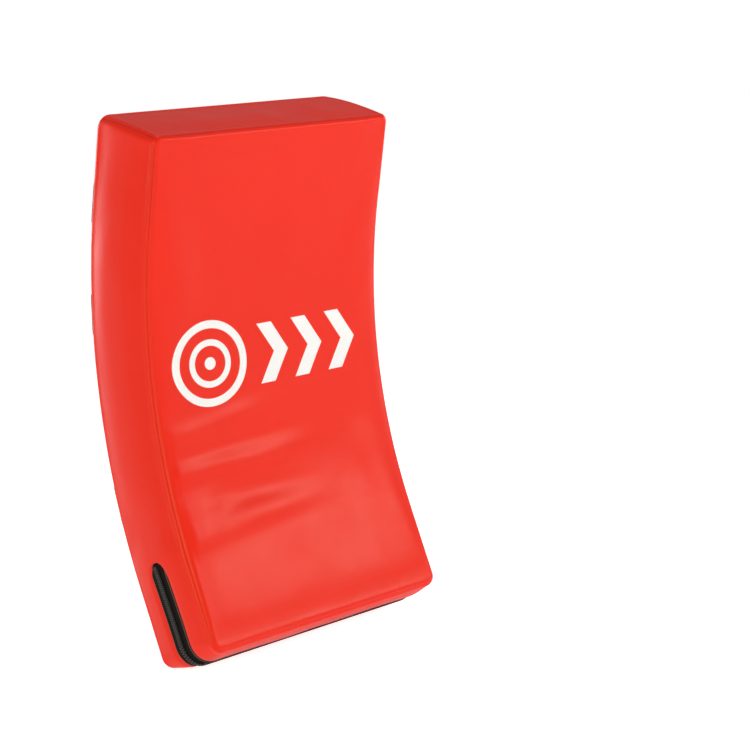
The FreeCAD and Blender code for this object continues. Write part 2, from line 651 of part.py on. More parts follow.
def make_arm_loops():
    """Each loop hangs from the middle band, folds up at its lower end and goes in under the lower band."""
    top_y, top_z = on_arc("(mid_band_along - webbing_width / 2)", f"({BACK_TOP} + strap_top_rise)")
    hang = (top_y, f"({top_z} - strap_top_gap)", "strap_tilt")
    fold, lip = "(-2 * strap_fold_radius)", "(-strap_run + strap_lip)"
    strap_route = [("0", "0"), ("0", "-strap_run"), (fold, "-strap_run"), (fold, lip)]
    tail_frame = arc_frame("((tail_top + tail_end) / 2)")
    under = f"({BACK_TOP} + tail_height)"
    over = f"({under} + 2 * tail_fold_radius)"
    scale = f"(1 + {BACK_TOP} / bend_radius)"
    level = {key: f"((tail_{key} - (tail_top + tail_end) / 2) * {scale})" for key in ("start", "top", "end")}
    tail_route = [(over, level["start"]), (over, level["top"]), (under, level["top"]), (under, level["end"])]
    for side, sign in (("left", -1), ("right", 1)):
        across = f"{sign} * strap_middle"
        strap = ribbon(f"{side}_strap_body", strap_route, {1: "-strap_fold_radius"})
        keep(f"{side}_arm_strap", strap, hang, across)
        tail = ribbon(f"{side}_tail_body", tail_route, {1: "tail_fold_radius"})
        keep(f"{side}_strap_tail", tail, tail_frame, across)


# ---------------------------------------------------------------- stitching

def cross_box(name, middle, half_across):
    """Boxed cross stitch as raised thread, flat on the webbing, in the frame of the place it sits."""
    level = f"({BACK_TOP} + webbing_gap + webbing_thickness + thread_gap)"
    half = "thread_width / 2"
    bars = []
    for sign in (1, -1):
        edge = f"({middle} + {sign} * {half_across})"
        bars.append(block(f"{name}_side_{sign + 1}", (f"{edge} - {half}", level, "-box_half_height"),
                          (f"{edge} + {half}", f"{level} + thread_thickness", "box_half_height")))
        row = f"({sign} * box_half_height)"
        bars.append(block(f"{name}_row_{sign + 1}", (f"{middle} - {half_across}", level, f"{row} - {half}"),
                          (f"{middle} + {half_across}", f"{level} + thread_thickness", f"{row} + {half}")))
        reach = f"sqrt({half_across} ^ 2 + box_half_height ^ 2)"
        bar = doc.addObject("Part::Box", f"{name}_cross_{sign + 1}")
        bind(bar, "Length", f"2 * {reach}")
        bind(bar, "Width", "thread_thickness")
        bind(bar, "Height", "thread_width")
        lean = math.degrees(math.atan2(number("box_half_height"), number(half_across)))
        bar.Placement = Placement(Vector(0, 0, 0), Rotation(Vector(0, -sign, 0), lean))
        start = f"{middle} - {half_across} + {sign} * {half} * box_half_height / {reach}"
        bind(bar, "Placement.Base.x", start)
        bind(bar, "Placement.Base.y", level)
        bind(bar, "Placement.Base.z", f"-{sign} * box_half_height - {half} * {half_across} / {reach}")
        bars.append(bar)
    return joined("Part::MultiFuse", name, bars)


def make_stitching():
    tabs = [cross_box(f"tab_box_{sign + 1}", f"({sign} * tab_box_middle)", "tab_box_half")
            for sign in (1, -1)]
    keep("handle_stitching", joined("Part::Compound", "tab_boxes", tabs), arc_frame("handle_along"))
    straps = [cross_box(f"strap_box_{sign + 1}", f"({sign} * strap_middle)", "strap_box_half")
              for sign in (1, -1)]
    keep("strap_stitching", joined("Part::Compound", "strap_boxes", straps), arc_frame("mid_band_along"))


def check_and_write():
    """Stop if anything failed, centre the pad over the origin, and write one file for each sub-part."""
    doc.recompute()
    failed = [item.Label for item in doc.Objects if {"Invalid", "Error"} & set(item.State)]
    if failed:
        raise RuntimeError(f"failed to build: {failed}")
    whole = Part.makeCompound([item.Shape for item in NODES.values()])
    box = whole.optimalBoundingBox(False)
    sheet.set(sheet.getCellFromAlias("centre_y"), f"{(box.YMin + box.YMax) / 2:.3f}")
    sheet.set(sheet.getCellFromAlias("base_z"), f"{box.ZMin:.3f}")
    doc.recompute()
    os.makedirs("parts", exist_ok=True)
    for name, item in NODES.items():
        shape = item.Shape
        if {"Invalid", "Error"} & set(item.State) or shape.isNull() or not shape.isValid():
            raise RuntimeError(f"{name} has no valid shape")
        shape.exportStep(f"parts/{name}.step")
        size = shape.optimalBoundingBox(False)
        print(f"{name:22s} solids {len(shape.Solids)}  volume {shape.Volume:12.1f}  "
              f"x {size.XMin:7.1f} {size.XMax:7.1f}  y {size.YMin:7.1f} {size.YMax:7.1f}  "
              f"z {size.ZMin:7.1f} {size.ZMax:7.1f}")


make_cover()
make_foam()
make_zip()
make_bands()
make_handle()
make_arm_loops()
make_stitching()
check_and_write()
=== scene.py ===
import json
import math
import random

import bmesh
import bpy
import numpy as np
from mathutils import Euler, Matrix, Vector, noise


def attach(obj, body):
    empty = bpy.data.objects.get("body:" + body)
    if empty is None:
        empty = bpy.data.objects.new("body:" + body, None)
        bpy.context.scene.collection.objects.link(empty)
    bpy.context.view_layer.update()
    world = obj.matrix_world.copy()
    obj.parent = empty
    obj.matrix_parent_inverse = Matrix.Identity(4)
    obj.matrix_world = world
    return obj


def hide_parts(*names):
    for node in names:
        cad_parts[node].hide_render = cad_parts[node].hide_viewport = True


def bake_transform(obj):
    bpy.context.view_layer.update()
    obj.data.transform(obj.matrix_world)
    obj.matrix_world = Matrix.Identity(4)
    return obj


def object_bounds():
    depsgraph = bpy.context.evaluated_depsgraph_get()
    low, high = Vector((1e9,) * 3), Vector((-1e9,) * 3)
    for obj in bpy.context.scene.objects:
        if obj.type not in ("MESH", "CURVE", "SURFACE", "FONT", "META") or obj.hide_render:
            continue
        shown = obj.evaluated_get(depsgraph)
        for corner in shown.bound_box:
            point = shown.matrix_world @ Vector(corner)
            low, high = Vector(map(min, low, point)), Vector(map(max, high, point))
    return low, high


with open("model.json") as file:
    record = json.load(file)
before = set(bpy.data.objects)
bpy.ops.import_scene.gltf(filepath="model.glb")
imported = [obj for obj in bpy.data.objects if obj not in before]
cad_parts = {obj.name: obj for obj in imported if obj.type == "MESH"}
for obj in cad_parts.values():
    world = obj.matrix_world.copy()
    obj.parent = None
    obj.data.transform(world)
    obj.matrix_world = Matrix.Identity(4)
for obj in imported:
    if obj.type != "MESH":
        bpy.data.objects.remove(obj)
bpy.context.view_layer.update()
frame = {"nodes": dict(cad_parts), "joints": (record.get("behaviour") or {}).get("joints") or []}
random.seed(7)

# The pad's own shape, as in the CAD model: a slab bent about an axis along X. "s" is the distance up
# its middle surface, "off" the distance behind it. All in metres.
BEND_RADIUS = 0.696
ARC_HALF = BEND_RADIUS * math.radians(17.7)
ORIGIN_Y, ORIGIN_Z = 0.018906, 0.325317
HALF_W, HALF_L, HALF_T = 0.178, 0.317, 0.0535
BACK_CROWN, FRONT_CROWN = 0.020, 0.012
BACK_TOP = HALF_T + BACK_CROWN
# radii of the outline's top and bottom corners: at the front seam, midway and at the back seam
CORNERS = ((0.009, 0.010), (0.013, 0.020), (0.015, 0.011))
WEB_HALF, WEB_THICK = 0.024, 0.0020
MID_S, LOWER_S, HANDLE_S = 0.090, -0.124, 0.214
STRAP_X = 0.108
ZIP_LEG = 0.102
ZIP_TOP = -HALF_L + ZIP_LEG + 0.018
# places of the white print on the front panel, from its middle
RING_X, RING_S = -0.098, 0.030
RINGS = ((0.0505, 0.0055), (0.0270, 0.0045))
RING_DOT = 0.0085
CHEVRONS = (0.012, 0.066, 0.120)
CHEVRON_SLANT, CHEVRON_HALF, CHEVRON_REACH = 0.62, 0.0115, 0.040
# how far the two panels and the strips may move when they are blown up, and how much their cloth stretches
PANEL_CAP, STRIP_CAP, SWELL = 0.006, 0.0025, 0.0014
# the turned-in allowance of a panel: how far in from the seam, and how deep
TURNED_IN = ((0.0008, 0.0022), (0.0016, 0.0060))


# ---------------------------------------------------------------- geometry helpers

def at(x, s, off):
    """Row-frame points for places on the bent slab."""
    x, s, off = np.broadcast_arrays(*(np.asarray(v, float) for v in (x, s, off)))
    t = np.clip(s, -ARC_HALF, ARC_HALF)
    phi, past = t / BEND_RADIUS, s - t
    y = (BEND_RADIUS + off) * np.cos(phi) - BEND_RADIUS - past * np.sin(phi)
    z = (BEND_RADIUS + off) * np.sin(phi) + past * np.cos(phi)
    return np.stack([x, y + ORIGIN_Y, z + ORIGIN_Z], -1)


def ease(value, low, high):
    """Smooth step: 0 up to low, 1 from high on."""
    t = np.clip((np.asarray(value, float) - low) / (high - low), 0, 1)
    return t * t * (3 - 2 * t)


def rise(distance, reach, power=0.55):
    """Puffed profile from a seam: 0 there, 1 from `reach` inwards."""
    t = 1 - np.clip(np.asarray(distance, float) / reach, 0, 1)
    return (1 - t ** 2.6) ** power


def seam_shape(distance):
    """Folded allowance beside a seam: a low ridge, then a groove at the stitches."""
    d = np.asarray(distance, float)
    return 0.0007 * np.exp(-((d - 0.0042) / 0.0026) ** 2) - 0.0013 * np.exp(-(d / 0.0011) ** 2)


def ripple(points, scale, seed):
    """Smooth noise at each point, from -1 to 1."""
    flat = points.reshape(-1, 3)
    shift = Vector((seed * 3.1, seed * 1.7, seed * 0.9))
    values = [noise.noise(Vector(p) * scale + shift) for p in flat]
    return np.array(values).reshape(points.shape[:-1])


def graded(half, fine=0.0008, coarse=0.0062):
    """Places across a panel, close together near its seams."""
    places, here, step = [0.0], 0.0, fine
    while here < half:
        here += step
        places.append(here)
        step = min(step * 1.22, coarse)
    places = np.array(places) * half / places[-1]
    return np.concatenate([places - half, half - places[-2::-1]])


def round_corners(x, s, radii):
    """Move the corner squares of the panel's outline onto round corners."""
    x, s = x.copy(), s.copy()
    for sign_s, radius in ((1, radii[0]), (-1, radii[1])):
        for sign_x in (1, -1):
            a = (x * sign_x - (HALF_W - radius)) / radius
            b = (s * sign_s - (HALF_L - radius)) / radius
            inside = (a > 0) & (b > 0)
            a, b = np.clip(a, 0, 1), np.clip(b, 0, 1)
            new_x = sign_x * (HALF_W - radius + radius * a * np.sqrt(1 - b * b / 2))
            new_s = sign_s * (HALF_L - radius + radius * b * np.sqrt(1 - a * a / 2))
            x, s = np.where(inside, new_x, x), np.where(inside, new_s, s)
    return x, s


def edge_distance(x, s, radii):
    """Distance in from the panel's outline with its round corners."""
    radius = np.where(s > 0, *radii)
    a, b = np.abs(x) - (HALF_W - radius), np.abs(s) - (HALF_L - radius)
    corner = radius - np.hypot(np.maximum(a, 0), np.maximum(b, 0))
    return np.where((a > 0) & (b > 0), corner, np.minimum(HALF_W - np.abs(x), HALF_L - np.abs(s)))


def mesh_object(name, vertices, faces, uv=None, attributes=None):
    """Smooth-shaded mesh in the scene, with one UV and one value of each attribute per point."""
    mesh = bpy.data.meshes.new(name)
    mesh.from_pydata([tuple(v) for v in vertices], [], faces)
    if uv is not None:
        loops = np.zeros(len(mesh.loops), dtype=np.int64)
        mesh.loops.foreach_get("vertex_index", loops)
        layer = mesh.uv_layers.new(name="UVMap")
        layer.data.foreach_set("uv", np.asarray(uv, np.float32)[loops].ravel())
    for key, values in (attributes or {}).items():
        layer = mesh.attributes.new(key, "FLOAT", "POINT")
        layer.data.foreach_set("value", np.asarray(values, np.float32).ravel())
    mesh.polygons.foreach_set("use_smooth", [True] * len(mesh.polygons))
    mesh.update()
    piece = bpy.data.objects.new(name, mesh)
    bpy.context.scene.collection.objects.link(piece)
    return piece


def grid_faces(rows, cols, wrap=False, flip=False):
    """Quads of a grid of points. With wrap, the last column joins the first."""
    index = np.arange(rows * cols).reshape(rows, cols)
    if wrap:
        index = np.concatenate([index, index[:, :1]], 1)
    quads = np.stack([index[:-1, :-1], index[:-1, 1:], index[1:, 1:], index[1:, :-1]], -1).reshape(-1, 4)
    return (quads[:, ::-1] if flip else quads).tolist()


def tidy(piece, merge=0.00002):
    """Weld doubled points and drop faces with no area."""
    work = bmesh.new()
    work.from_mesh(piece.data)
    bmesh.ops.remove_doubles(work, verts=work.verts, dist=merge)
    bmesh.ops.dissolve_degenerate(work, edges=work.edges, dist=merge)
    work.to_mesh(piece.data)
    work.free()
    piece.data.polygons.foreach_set("use_smooth", [True] * len(piece.data.polygons))
    return piece


def smooth_path(points, step=0.0015):
    """Even points along a smooth curve through the given ones."""
    points = np.asarray(points, float)
    padded_points = np.concatenate([[2 * points[0] - points[1]], points, [2 * points[-1] - points[-2]]])
    fine = []
    for index in range(len(points) - 1):
        p0, p1, p2, p3 = padded_points[index:index + 4]
        t = np.linspace(0, 1, 24, endpoint=False)[:, None]
        fine.append(0.5 * (2 * p1 + (p2 - p0) * t + (2 * p0 - 5 * p1 + 4 * p2 - p3) * t ** 2
                           + (3 * p1 - p0 - 3 * p2 + p3) * t ** 3))
    fine = np.concatenate([*fine, points[-1:]])
    lengths = np.concatenate([[0], np.cumsum(np.linalg.norm(np.diff(fine, axis=0), axis=1))])
    wanted = np.linspace(0, lengths[-1], max(2, int(lengths[-1] / step)))
    return np.stack([np.interp(wanted, lengths, fine[:, axis]) for axis in range(3)], -1)


def unit(vectors):
    return vectors / np.linalg.norm(vectors, axis=-1, keepdims=True)


def webbing(name, path, across, half_width, thick=WEB_THICK, rib=0.0, pitch=0.003, start=0.0):
    """Woven strap along a path. `across` is its width's direction, and `rib` the depth of its cross ribs."""
    count = len(path)
    along = unit(np.gradient(path, axis=0))
    across = np.broadcast_to(np.asarray(across, float), path.shape)
    normal = unit(np.cross(across, along))
    half_width = np.broadcast_to(np.asarray(half_width, float), (count,))
    steps = np.concatenate([[0], np.cumsum(np.linalg.norm(np.diff(path, axis=0), axis=1))]) + start
    places = np.array([-1, -0.985, -0.955, -0.91, -0.84, -0.7, -0.5, -0.25, 0, 0.25, 0.5, 0.7, 0.84, 0.91,
                       0.955, 0.985, 1])
    body = (1 - np.abs(places) ** 14) ** 0.5
    ring_w = np.concatenate([places, places[-2:0:-1]])
    ring_h = np.concatenate([body, -body[-2:0:-1]]) * thick / 2
    side = np.concatenate([np.ones(len(places)), -np.ones(len(places) - 2)])
    wave = rib * (np.abs(np.sin(math.pi * steps / pitch)) - 0.6)
    wave = wave[:, None] * side * (np.abs(ring_w) < 0.93)
    height = ring_h + wave
    vertices = (path[:, None] + across[:, None] * (ring_w * half_width[:, None])[..., None]
                + normal[:, None] * height[..., None])
    uv = np.stack([ring_w * half_width[:, None], np.broadcast_to(steps[:, None], height.shape)], -1)
    size = vertices.shape[1]
    faces = grid_faces(count, size, wrap=True)
    faces.append(list(range(size))[::-1])
    faces.append(list(range((count - 1) * size, count * size)))
    piece = mesh_object(name, vertices.reshape(-1, 3), faces, uv.reshape(-1, 2))
    outward(piece)
    return piece


def outward(piece):
    """Face normals all out."""
    work = bmesh.new()
    work.from_mesh(piece.data)
    bmesh.ops.recalc_face_normals(work, faces=work.faces)
    work.to_mesh(piece.data)
    work.free()


# ---------------------------------------------------------------- materials

def new_material(name, color, roughness, **sockets):
    """Material, its node tree and its shader. Sockets are named with _ for a space."""
    material = bpy.data.materials.new(name)
    material.use_nodes = True
    shader = material.node_tree.nodes["Principled BSDF"]
    shader.inputs["Base Color"].default_value = (*color, 1)
    shader.inputs["Roughness"].default_value = roughness
    for socket, value in sockets.items():
        shader.inputs[socket.replace("_", " ")].default_value = value
    return material, material.node_tree, shader


def node(tree, kind, *links, **settings):
    """A node with its settings, and (socket, source) links or (socket, value) inputs."""
    item = tree.nodes.new(kind)
    for key, value in settings.items():
        setattr(item, key, value)
    for socket, source in links:
        if isinstance(source, bpy.types.NodeSocket):
            tree.links.new(source, item.inputs[socket])
        else:
            item.inputs[socket].default_value = source
    return item


def math_node(tree, operation, first, second=0.0, third=None, clamp=False):
    links = [(0, first), (1, second)] + ([] if third is None else [(2, third)])
    return node(tree, "ShaderNodeMath", *links, operation=operation, use_clamp=clamp).outputs[0]


def noise_node(tree, place, scale, detail):
    """Fine noise at a place, from 0 to 1."""
    item = node(tree, "ShaderNodeTexNoise", ("Vector", place), ("Scale", scale), ("Detail", detail))
    return item.outputs["Fac"]


def mix_color(tree, factor, first, second):
    item = node(tree, "ShaderNodeMix", data_type="RGBA")
    for socket, value in ((0, factor), (6, first), (7, second)):
        if isinstance(value, bpy.types.NodeSocket):
            tree.links.new(value, item.inputs[socket])
        else:
            item.inputs[socket].default_value = value
    return item.outputs[2]


def leather_material(name, red, deep, mark=False):
    """Glossy artificial leather: fine grain, soft dents, and painted shade that darkens the colour in the
    seam grooves.
    """
    material, tree, shader = new_material(name, red, 0.4, Specular_IOR_Level=0.21)
    place = tree.nodes.new("ShaderNodeTexCoord").outputs["Object"]
    grain = node(tree, "ShaderNodeTexVoronoi", ("Vector", place), ("Scale", 720.0),
                 feature="SMOOTH_F1").outputs["Distance"]
    pores = noise_node(tree, place, 1500.0, 2.0)
    dents = noise_node(tree, place, 16.0, 3.0)
    cloud = noise_node(tree, place, 5.0, 4.0)
    edge = node(tree, "ShaderNodeAttribute", attribute_name="edge").outputs["Fac"]
    colour = mix_color(tree, math_node(tree, "MULTIPLY", cloud, 0.35), (*red, 1), (*deep, 1))
    # Painted shade: within about 1 mm of a seam the colour is mixed towards a near-black red, as if the
    # groove were in shade.
    from_seam = math_node(tree, "MULTIPLY", edge, 1200.0, clamp=True)
    groove = math_node(tree, "SUBTRACT", 1.0, from_seam, clamp=True)
    colour = mix_color(tree, math_node(tree, "MULTIPLY", groove, 0.42), colour,
                       (deep[0] * 0.3, 0.004, 0.004, 1))
    if mark:
        white = print_mask(tree)
        colour = mix_color(tree, white, colour, (0.93, 0.95, 0.99, 1))
    tree.links.new(colour, shader.inputs["Base Color"])
    rough = math_node(tree, "MULTIPLY_ADD", dents, 0.16, 0.25)
    rough = math_node(tree, "MULTIPLY_ADD", grain, 0.07, rough)
    tree.links.new(rough, shader.inputs["Roughness"])
    fine = math_node(tree, "ADD", math_node(tree, "MULTIPLY", grain, 0.8),
                     math_node(tree, "MULTIPLY", pores, 0.3))
    soft = node(tree, "ShaderNodeBump", ("Height", dents), ("Strength", 0.5), ("Distance", 0.0022))
    bump = node(tree, "ShaderNodeBump", ("Height", fine), ("Strength", 0.45), ("Distance", 0.00016),
                ("Normal", soft.outputs[0]))
    tree.links.new(bump.outputs[0], shader.inputs["Normal"])
    return material


def print_mask(tree):
    """Generic white print in the panel's own metres: a ring target and three chevrons."""
    where = node(tree, "ShaderNodeUVMap", uv_map="UVMap").outputs[0]
    split = node(tree, "ShaderNodeSeparateXYZ", (0, where))
    x, s = split.outputs[0], split.outputs[1]
    crisp = 1400.0

    def inside(distance, half):
        """1 where distance is under half, with a thin soft edge."""
        return math_node(tree, "MULTIPLY", math_node(tree, "SUBTRACT", half, distance), crisp, clamp=True)

    def gap(value, middle):
        return math_node(tree, "ABSOLUTE", math_node(tree, "SUBTRACT", value, middle))

    across, up = gap(x, RING_X), gap(s, RING_S)
    square = math_node(tree, "ADD", math_node(tree, "MULTIPLY", across, across),
                       math_node(tree, "MULTIPLY", up, up))
    distance = math_node(tree, "SQRT", square)
    masks = [inside(gap(distance, radius), half) for radius, half in RINGS] + [inside(distance, RING_DOT)]
    for middle in CHEVRONS:
        slant = math_node(tree, "MULTIPLY", up, CHEVRON_SLANT)
        line = math_node(tree, "ADD", math_node(tree, "SUBTRACT", x, middle), slant)
        line = math_node(tree, "ABSOLUTE", line)
        masks.append(math_node(tree, "MULTIPLY", inside(line, CHEVRON_HALF), inside(up, CHEVRON_REACH)))
    whole = masks[0]
    for mask in masks[1:]:
        whole = math_node(tree, "MAXIMUM", whole, mask)
    worn = noise_node(tree, where, 260.0, 3.0)
    worn = math_node(tree, "MULTIPLY_ADD", worn, 0.10, 0.93, clamp=True)
    return math_node(tree, "MULTIPLY", whole, worn)


def weave_material(name, color, light, cross=0.0016, along=0.0011, depth=0.0005, piping=None):
    """Black webbing: fine ribs both ways, fuzz, and painted sheen that makes the high threads paler."""
    material, tree, shader = new_material(name, color, 0.78, Specular_IOR_Level=0.14)
    where = node(tree, "ShaderNodeUVMap", uv_map="UVMap").outputs[0]
    split = node(tree, "ShaderNodeSeparateXYZ", (0, where))
    warp = math_node(tree, "ABSOLUTE", math_node(tree, "SINE", math_node(
        tree, "MULTIPLY", split.outputs[0], math.pi / cross)))
    weft = math_node(tree, "ABSOLUTE", math_node(tree, "SINE", math_node(
        tree, "MULTIPLY", split.outputs[1], math.pi / along)))
    threads = math_node(tree, "MULTIPLY", warp, weft)
    fuzz = noise_node(tree, where, 900.0, 3.0)
    height = math_node(tree, "MULTIPLY_ADD", fuzz, 0.35, threads)
    # Painted sheen: the thread crests take the lighter colour, more where the fuzz noise is high.
    painted_crest_sheen = math_node(tree, "MULTIPLY", math_node(tree, "POWER", threads, 2.0), fuzz, clamp=True)
    colour = mix_color(tree, painted_crest_sheen, (*color, 1), (*light, 1))
    if piping:
        away = math_node(tree, "ABSOLUTE", math_node(tree, "SUBTRACT", split.outputs[0], piping))
        line = math_node(tree, "SUBTRACT", 1.0, math_node(tree, "MULTIPLY", away, 1100.0), clamp=True)
        colour = mix_color(tree, line, colour, (0.16, 0.15, 0.15, 1))
    tree.links.new(colour, shader.inputs["Base Color"])
    bump = node(tree, "ShaderNodeBump", ("Height", height), ("Strength", 0.7), ("Distance", depth))
    tree.links.new(bump.outputs[0], shader.inputs["Normal"])
    return material


def plain_material(name, color, roughness, metallic=0.0, scale=900.0, depth=0.0001, spread=0.15):
    """Moulded plastic or painted metal with fine marks."""
    material, tree, shader = new_material(name, color, roughness, Metallic=metallic)
    place = tree.nodes.new("ShaderNodeTexCoord").outputs["Object"]
    marks = noise_node(tree, place, scale, 4.0)
    rough = math_node(tree, "MULTIPLY_ADD", marks, spread, roughness - spread / 2)
    tree.links.new(rough, shader.inputs["Roughness"])
    lighter = tuple(min(1.0, channel * 2.2 + 0.01) for channel in color)
    colour = mix_color(tree, math_node(tree, "POWER", marks, 3.0), (*color, 1), (*lighter, 1))
    tree.links.new(colour, shader.inputs["Base Color"])
    bump = node(tree, "ShaderNodeBump", ("Height", marks), ("Strength", 0.4), ("Distance", depth))
    tree.links.new(bump.outputs[0], shader.inputs["Normal"])
    return material


RED, DEEP_RED = (0.88, 0.023, 0.007), (0.76, 0.014, 0.006)
LEATHER = leather_material("red_leather", RED, DEEP_RED)
PRINTED = leather_material("red_leather_printed", RED, DEEP_RED, mark=True)
WEB_BLACK = (0.0035, 0.0033, 0.0035)
# The second colour of each weave is the painted sheen on its high threads.
BAND_WEB = weave_material("band_webbing", WEB_BLACK, (0.026, 0.025, 0.026), cross=0.0022, along=0.0013)
STRAP_WEB = weave_material("strap_webbing", WEB_BLACK, (0.030, 0.029, 0.030), cross=0.0014, along=0.0031)
TAPE = weave_material("zip_tape", (0.006, 0.004, 0.005), (0.036, 0.030, 0.033), cross=0.0034, along=0.0008,
                      depth=0.0003, piping=0.0132)
TEETH = plain_material("zip_teeth", (0.012, 0.012, 0.013), 0.38)
METAL = plain_material("zip_metal", (0.02, 0.02, 0.021), 0.3, metallic=0.6)
THREAD = plain_material("thread", (0.010, 0.010, 0.011), 0.6, scale=2500.0)
GRIP = weave_material("grip_wrap", (0.0040, 0.0038, 0.0040), (0.022, 0.021, 0.022), cross=0.0011,
                      along=0.0024, depth=0.0002)


def finish_piece(piece, material, body, slot, *nodes):
    """Material, body and the CAD nodes that the piece replaces. The slot is not used."""
    piece.data.materials.clear()
    piece.data.materials.append(material)
    if body:
        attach(piece, body)
    if nodes:
        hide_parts(*nodes)


# ---------------------------------------------------------------- cloth

def settle(name, points, pinned, cap, swell, frames=20):
    """How far each point of a grid moves when it is blown up as cloth held where it is pinned."""
    rows, cols = points.shape[:2]
    piece = mesh_object(name, points.reshape(-1, 3), grid_faces(rows, cols))
    group = piece.vertex_groups.new(name="seams")
    for index in np.flatnonzero(pinned.ravel()):
        group.add([int(index)], 1.0, "REPLACE")
    cloth = piece.modifiers.new("cloth", "CLOTH")
    settings = cloth.settings
    settings.quality = 6
    settings.mass = 0.25
    settings.air_damping = 2.0
    settings.tension_stiffness = settings.compression_stiffness = 40
    settings.shear_stiffness = 12
    settings.bending_stiffness = 6.0
    settings.vertex_group_mass = "seams"
    settings.shrink_min = -swell
    settings.use_pressure = True
    settings.uniform_pressure_force = 4.0
    settings.effector_weights.gravity = 0.0
    cloth.collision_settings.use_collision = False
    for number in range(1, frames + 1):
        bpy.context.scene.frame_set(number)
    solved = piece.evaluated_get(bpy.context.evaluated_depsgraph_get()).to_mesh()
    moved = np.zeros(rows * cols * 3, np.float32)
    solved.vertices.foreach_get("co", moved)
    shift = moved.reshape(rows, cols, 3) - points
    length = np.linalg.norm(shift, axis=-1, keepdims=True)
    shift *= np.minimum(1, cap / np.maximum(length, 1e-9))
    bpy.data.objects.remove(piece)
    bpy.context.scene.frame_set(1)
    for _ in range(7):
        around = shift[:-2, 1:-1] + shift[2:, 1:-1] + shift[1:-1, :-2] + shift[1:-1, 2:]
        shift[1:-1, 1:-1] = (shift[1:-1, 1:-1] + around) / 5
    return shift


def sample(field, rows, cols, row_at, col_at):
    """Bilinear reading of a grid of vectors laid out on the given row and column places."""
    r = np.interp(row_at, rows, np.arange(len(rows)))
    c = np.interp(col_at, cols, np.arange(len(cols)))
    r0, c0 = np.minimum(r.astype(int), len(rows) - 2), np.minimum(c.astype(int), len(cols) - 2)
    fr, fc = (r - r0)[..., None], (c - c0)[..., None]
    top = field[r0, c0] * (1 - fc) + field[r0, c0 + 1] * fc
    low = field[r0 + 1, c0] * (1 - fc) + field[r0 + 1, c0 + 1] * fc
    return top * (1 - fr) + low * fr


# ---------------------------------------------------------------- cover panels

def back_off(x, s):
    """Height of the back panel behind the middle surface."""
    return HALF_T + BACK_CROWN * rise(HALF_W - np.abs(x), 0.060, 0.80) * rise(HALF_L - np.abs(s), 0.055)


def web_off(x, s):
    """The back panel where webbing is pulled tight over it, pressed in most close to the seams."""
    from_seam = HALF_W - np.abs(x)
    deep = 0.0026 * ease(from_seam, 0, 0.003) * (1 - 0.85 * ease(from_seam, 0.015, 0.06))
    return back_off(x, s) - deep * under_webbing(s)


def under_webbing(s):
    """1 where webbing crosses the back panel, 0 clear of it."""
    nearest = np.min([np.abs(s - middle) for middle in (MID_S, LOWER_S, HANDLE_S)], axis=0)
    return 1 - ease(nearest, WEB_HALF - 0.001, WEB_HALF + 0.007)


def front_off(x, s):
    """Height of the striking face, before the middle surface and so negative."""
    return -HALF_T - FRONT_CROWN * rise(HALF_W - np.abs(x), 0.060, 0.68) * rise(HALF_L - np.abs(s), 0.060)


def creases(x, s):
    """Soft sideways folds low on the striking face, running in from the left seam."""
    depth = np.zeros_like(x)
    rng = random.Random(11)
    for index in range(8):
        level = -0.052 - 0.0195 * index + rng.uniform(-0.004, 0.004)
        reach = rng.uniform(0.10, 0.26)
        slope = rng.uniform(-0.02, 0.10)
        width = rng.uniform(0.0085, 0.0135)
        strength = rng.uniform(0.6, 1.0) * 0.0024
        run = x + HALF_W
        fade = ease(run, 0.002, 0.016) * (1 - ease(run, reach * 0.5, reach))
        line = (s - level - slope * run) / width
        depth += strength * fade * (np.exp(-line ** 2) - 0.6 * np.exp(-(line - 2.2) ** 2))
    return depth


